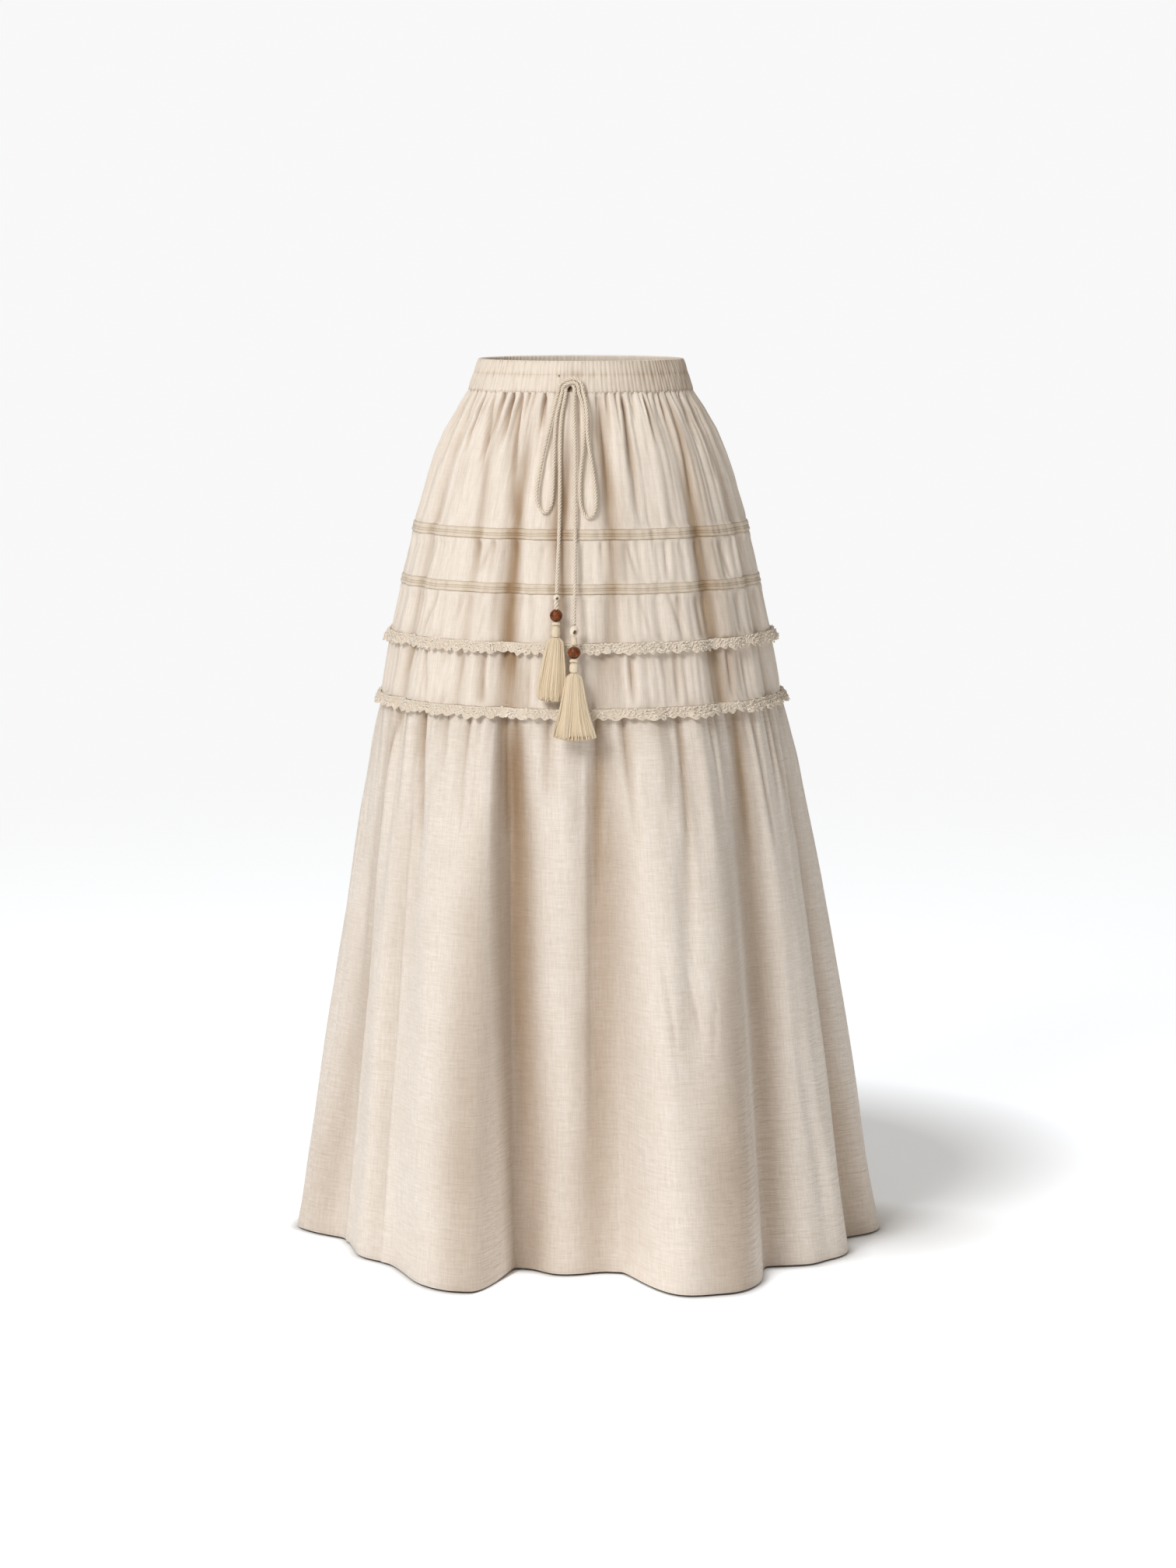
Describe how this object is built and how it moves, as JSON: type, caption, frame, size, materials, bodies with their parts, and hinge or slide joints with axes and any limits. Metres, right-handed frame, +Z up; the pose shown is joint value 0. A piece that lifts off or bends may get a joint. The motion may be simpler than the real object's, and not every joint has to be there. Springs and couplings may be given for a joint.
{
  "type": "maxi skirt",
  "caption": "Tiered ecru maxi skirt in filled-out pose, with gathered elastic waist, bow drawstring with beads and tassels, tuck bands, crochet trims and a long flounce.",
  "frame": {"origin": "centre of the waist, at half the height of the waistband, where the wearer holds the skirt", "axes": "+Z up along the skirt's length, -Y towards the front with the bow, +X towards the right side seam as seen from the front"},
  "size_m": [0.6706, 0.5731, 0.9975],
  "materials": {
    "linen": "ecru plain-woven linen gauze with slubs",
    "tuck_linen": "ecru linen with corded tucks and open stitched lines",
    "crochet": "matte cotton crochet",
    "cord_cotton": "twisted cotton cord",
    "tassel_cotton": "loose cotton threads",
    "dark_wood": "turned brown wood, varnished",
    "pale_wood": "turned pale wood, waxed"
  },
  "bodies": {
    "root": {"waistband": "linen", "tier_1_front": "linen", "tier_1_back": "linen", "tuck_band_1": "tuck_linen", "tier_2_front": "linen", "tier_2_back": "linen", "tuck_band_2": "tuck_linen", "tier_3_front": "linen", "tier_3_back": "linen", "crochet_trim_1": "crochet", "tier_4_front": "linen", "tier_4_back": "linen", "crochet_trim_2": "crochet", "flounce_front": "linen", "flounce_back": "linen", "bow_knot": "cord_cotton", "bow_loop_left": "cord_cotton", "bow_loop_right": "cord_cotton", "drawstring_end_left": "cord_cotton", "drawstring_end_right": "cord_cotton", "end_knot_left": "cord_cotton", "drawstring_tip_left": "cord_cotton", "wood_bead_left": "dark_wood", "disc_left": "pale_wood", "cream_bead_left": "pale_wood", "tassel_left": "tassel_cotton", "end_knot_right": "cord_cotton", "barrel_bead_right": "pale_wood", "wood_bead_right": "dark_wood", "disc_right": "pale_wood", "cream_bead_right": "pale_wood", "tassel_right": "tassel_cotton"}
  },
  "joints": []
}
